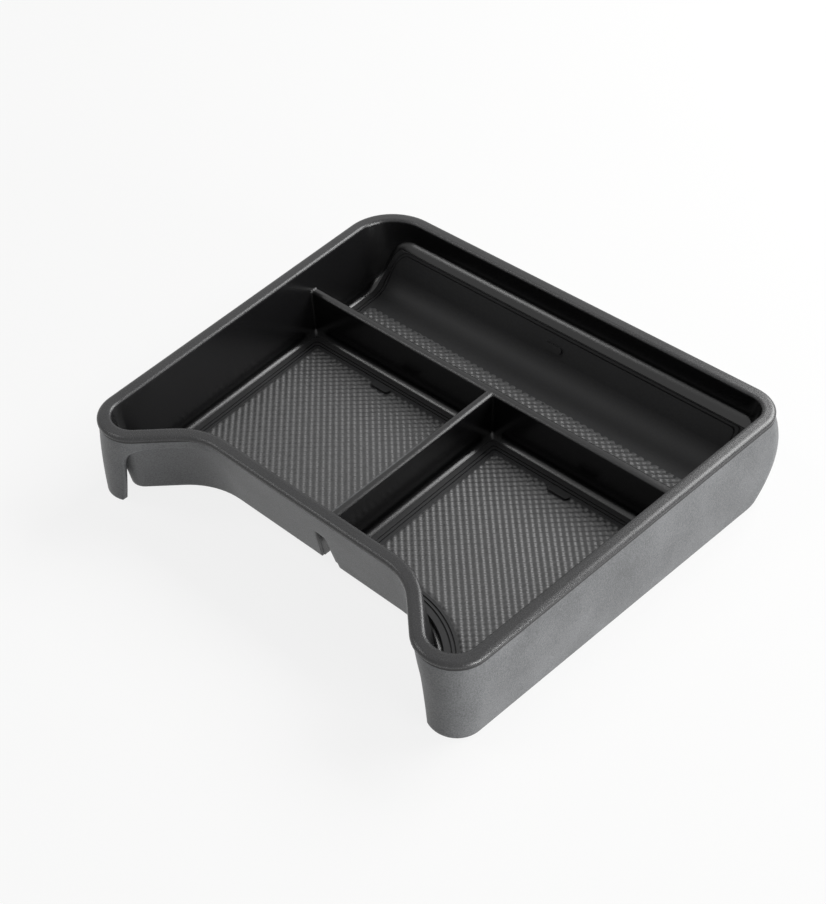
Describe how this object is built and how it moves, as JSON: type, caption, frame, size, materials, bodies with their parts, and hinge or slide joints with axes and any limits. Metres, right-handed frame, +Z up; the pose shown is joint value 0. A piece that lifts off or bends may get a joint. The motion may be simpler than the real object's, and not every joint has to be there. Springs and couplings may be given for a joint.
{
  "type": "center console organizer tray",
  "caption": "Shallow moulded tray with a front bay between two rounded ears, low dividers, a ramped rear compartment and loose textured mats.",
  "frame": {"origin": "middle of the footprint, on the surface that the tray stands on", "axes": "+Z up, the two ears point to -Y, the ramped compartment is at +Y, +X to the right"},
  "size_m": [0.2538, 0.2215, 0.0446],
  "materials": {
    "tray_plastic": "fine-grained satin black moulding",
    "mat_rubber": "soft dark rubber with a raised bump texture"
  },
  "bodies": {
    "root": {"tray_body": "tray_plastic", "front_left_mat": "mat_rubber", "front_right_mat": "mat_rubber", "rear_mat": "mat_rubber"}
  },
  "joints": []
}
